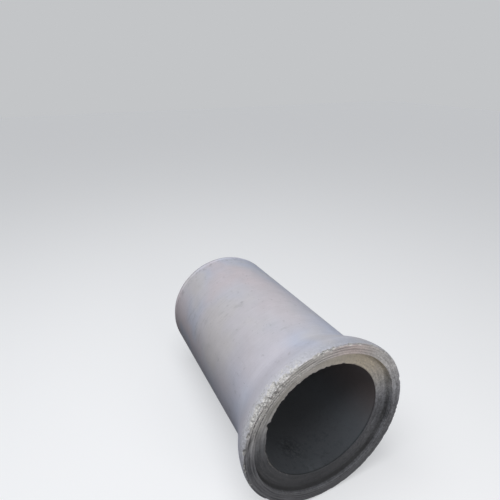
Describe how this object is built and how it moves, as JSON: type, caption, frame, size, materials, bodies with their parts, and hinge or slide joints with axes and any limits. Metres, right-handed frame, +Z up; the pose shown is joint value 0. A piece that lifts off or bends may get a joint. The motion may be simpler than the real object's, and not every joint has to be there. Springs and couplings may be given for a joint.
{
  "type": "concrete sewer pipe",
  "caption": "Precast concrete drain pipe: straight round barrel with a flared bell socket at one end and a plain tapered spigot at the other.",
  "frame": {"origin": "on the floor, under the middle of the pipe's bounding box", "axes": "+Z up from the floor that the pipe lies on; +X along the pipe towards its bell, whose end sits higher, so the pipe's axis climbs about 3 degrees towards +X"},
  "size_m": [2.1652, 1.4158, 1.4148],
  "materials": {
    "concrete": "matte cast concrete"
  },
  "bodies": {
    "root": {"concrete_pipe": "concrete"}
  },
  "joints": []
}
